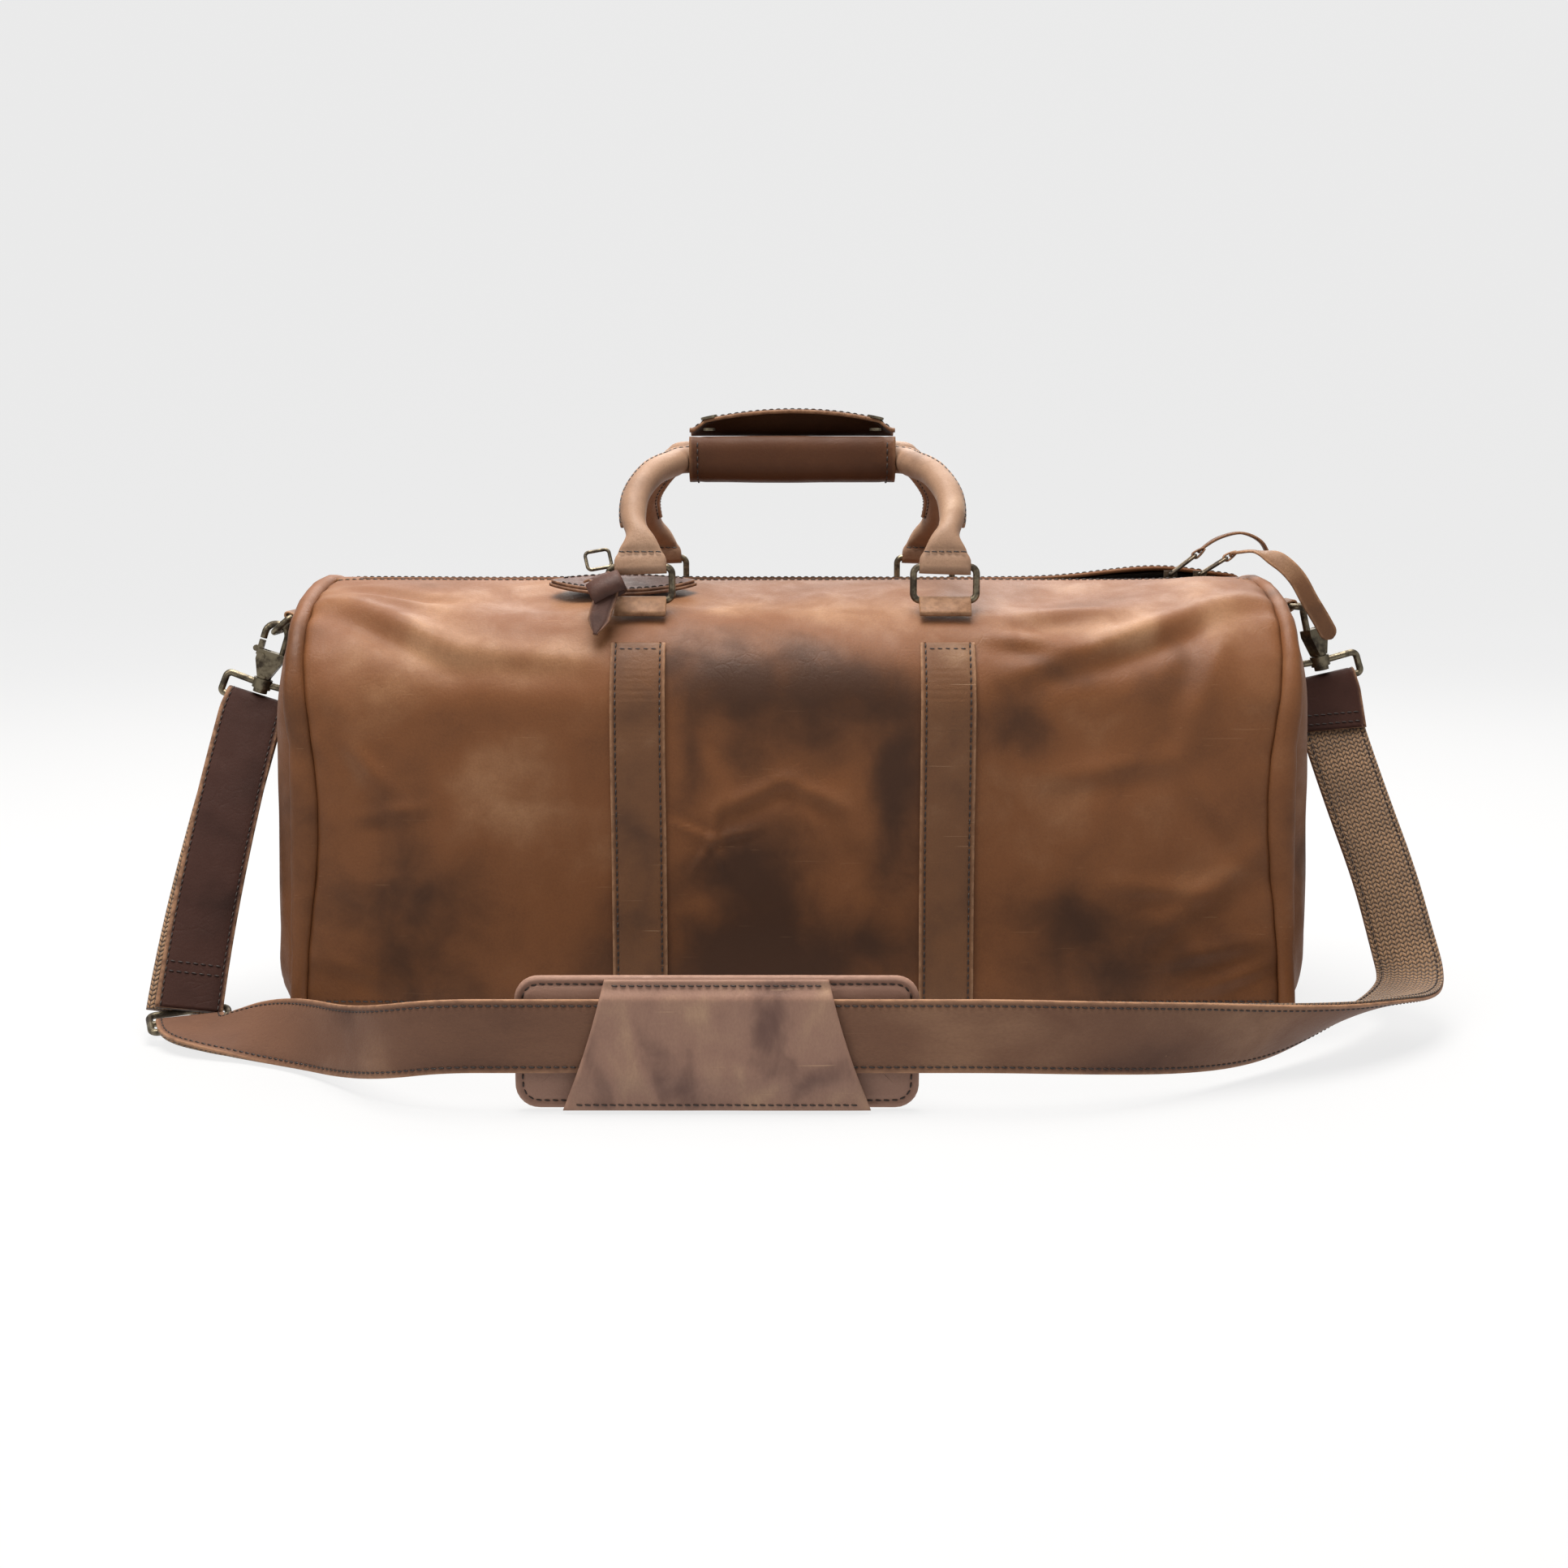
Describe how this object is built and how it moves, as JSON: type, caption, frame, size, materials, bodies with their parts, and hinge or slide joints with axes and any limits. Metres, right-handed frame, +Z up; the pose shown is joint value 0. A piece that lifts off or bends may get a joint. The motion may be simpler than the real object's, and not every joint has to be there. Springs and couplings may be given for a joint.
{
  "type": "duffel bag",
  "caption": "Box-shaped leather duffel bag with end piping, bands, rolled carry handles in a grip with press studs, zip pulls, luggage tag and a clip-on shoulder strap with pad.",
  "frame": {"origin": "centre of the flat bottom face, on the surface that the bag stands on", "axes": "+X along the bag to its right end, -Y to its front, +Z up"},
  "size_m": [0.7545, 0.3983, 0.3608],
  "materials": {
    "body_leather": "oiled pull-up leather, mottled",
    "band_leather": "oiled pull-up leather",
    "handle_leather": "oiled pull-up leather",
    "dark_leather": "dark oiled leather",
    "strap_leather": "oiled leather, waxy",
    "webbing": "coarse woven webbing",
    "antique_brass": "antique brass, darkened",
    "zip_metal": "dark antique brass",
    "zip_cloth": "woven tape",
    "lining_cloth": "plain woven cotton",
    "board": "stiff board",
    "cord_filler": "twisted rope filler"
  },
  "bodies": {
    "bag": {"back_left_band": "band_leather", "back_panel": "body_leather", "back_right_band": "band_leather", "back_ring_loops": "band_leather", "back_zip_tape": "zip_cloth", "base_board": "board", "bottom_panel": "body_leather", "front_left_band": "band_leather", "front_panel": "body_leather", "front_right_band": "band_leather", "front_ring_loops": "band_leather", "front_zip_tape": "zip_cloth", "left_d_ring_tab": "band_leather", "left_end_panel": "body_leather", "left_piping": "body_leather", "left_swivel_loop": "antique_brass", "lining": "lining_cloth", "right_d_ring_tab": "band_leather", "right_end_panel": "body_leather", "right_piping": "body_leather", "right_swivel_loop": "antique_brass", "strap_adjuster": "antique_brass", "strap_end_tab": "dark_leather", "strap_leather": "strap_leather", "strap_short_loop": "dark_leather", "strap_webbing": "webbing", "tag_buckle": "antique_brass", "tag_strap": "dark_leather", "zip_chain": "zip_metal", "zip_end_tabs": "body_leather"},
    "front_rings": {"front_left_ring": "antique_brass", "front_right_ring": "antique_brass"},
    "back_rings": {"back_left_ring": "antique_brass", "back_right_ring": "antique_brass"},
    "carry_handles": {"front_handle": "handle_leather", "back_handle": "handle_leather", "front_handle_core": "cord_filler", "back_handle_core": "cord_filler", "grip_wrap": "handle_leather", "snap_studs": "antique_brass"},
    "grip_flap": {"grip_flap": "handle_leather", "snap_caps": "antique_brass"},
    "left_slider": {"zip_slider_left": "zip_metal"},
    "right_slider": {"zip_slider_right": "zip_metal"},
    "left_pull": {"pull_link_left": "zip_metal", "pull_strap_left": "dark_leather"},
    "right_pull": {"pull_link_right": "zip_metal", "pull_strap_right": "band_leather"},
    "left_d_ring": {"left_d_ring": "antique_brass"},
    "right_d_ring": {"right_d_ring": "antique_brass"},
    "left_hook": {"left_hook": "antique_brass", "left_gate_pin": "antique_brass"},
    "right_hook": {"right_hook": "antique_brass", "right_gate_pin": "antique_brass"},
    "left_gate": {"left_hook_gate": "antique_brass"},
    "right_gate": {"right_hook_gate": "antique_brass"},
    "strap_pad": {"shoulder_pad": "strap_leather", "pad_cover": "strap_leather"},
    "luggage_tag": {"tag_body": "dark_leather"}
  },
  "joints": [
    {"name": "ring_tilt", "type": "hinge", "parent": "bag", "child": "front_rings", "pos_m": [0, -0.09058, 0.25059], "axis": [1, 0, 0], "range_deg": [-20, 20]},
    {"name": "handle_rock", "type": "hinge", "parent": "front_rings", "child": "carry_handles", "pos_m": [0, -0.09058, 0.26959], "axis": [1, 0, 0], "range_deg": [-20, 20]},
    {"name": "back_ring_tilt", "type": "hinge", "parent": "bag", "child": "back_rings", "pos_m": [0, 0.09058, 0.25059], "axis": [1, 0, 0], "range_deg": [-20, 20]},
    {"name": "flap_open", "type": "hinge", "parent": "carry_handles", "child": "grip_flap", "pos_m": [0, 0.015, 0.3517], "axis": [-1, 0, 0], "range_deg": [0, 110]},
    {"name": "left_zip_slide", "type": "slide", "parent": "bag", "child": "left_slider", "axis": [1, 0, 0], "range_m": [-0.43, 0]},
    {"name": "right_zip_slide", "type": "slide", "parent": "bag", "child": "right_slider", "axis": [1, 0, 0], "range_m": [0, 0.004]},
    {"name": "left_pull_lift", "type": "hinge", "parent": "left_slider", "child": "left_pull", "pos_m": [0.232, 0, 0.2619], "axis": [0, -1, 0], "range_deg": [0, 40]},
    {"name": "right_pull_lift", "type": "hinge", "parent": "right_slider", "child": "right_pull", "pos_m": [0.25, 0, 0.2619], "axis": [0, -1, 0], "range_deg": [0, 20]},
    {"name": "pad_slide", "type": "slide", "parent": "bag", "child": "strap_pad", "axis": [1, 0, 0], "range_m": [-0.025, 0.035]},
    {"name": "tag_lift", "type": "hinge", "parent": "bag", "child": "luggage_tag", "pos_m": [-0.1, -0.071, 0.2538], "axis": [1, 0, 0], "range_deg": [0, 30]},
    {"name": "left_d_ring_swing", "type": "hinge", "parent": "bag", "child": "left_d_ring", "pos_m": [-0.306, 0, 0.236], "axis": [0, -1, 0], "range_deg": [0, 8]},
    {"name": "left_hook_swivel", "type": "hinge", "parent": "bag", "child": "left_hook", "pos_m": [-0.32618, 0, 0.1979], "axis": [0.309, 0, 0.9511], "range_deg": [-15, 15]},
    {"name": "left_gate_open", "type": "hinge", "parent": "left_hook", "child": "left_gate", "pos_m": [-0.32629, 0, 0.21213], "axis": [0, 1, 0], "range_deg": [0, 22], "stiffness_Nm_per_rad": 0.02, "springref_deg": -17.19},
    {"name": "right_d_ring_swing", "type": "hinge", "parent": "bag", "child": "right_d_ring", "pos_m": [0.304, 0, 0.243], "axis": [0, 1, 0], "range_deg": [0, 8]},
    {"name": "right_hook_swivel", "type": "hinge", "parent": "bag", "child": "right_hook", "pos_m": [0.32483, 0, 0.21196], "axis": [-0.225, 0, 0.9744], "range_deg": [-20, 2]},
    {"name": "right_gate_open", "type": "hinge", "parent": "right_hook", "child": "right_gate", "pos_m": [0.32515, 0.00289, 0.22589], "axis": [0.6263, -0.766, 0.1446], "range_deg": [0, 22], "stiffness_Nm_per_rad": 0.02, "springref_deg": -17.19}
  ],
  "couplings": [
    {"joint": "handle_rock", "follows": "ring_tilt", "ratio": -1},
    {"joint": "back_ring_tilt", "follows": "ring_tilt", "ratio": 1}
  ]
}
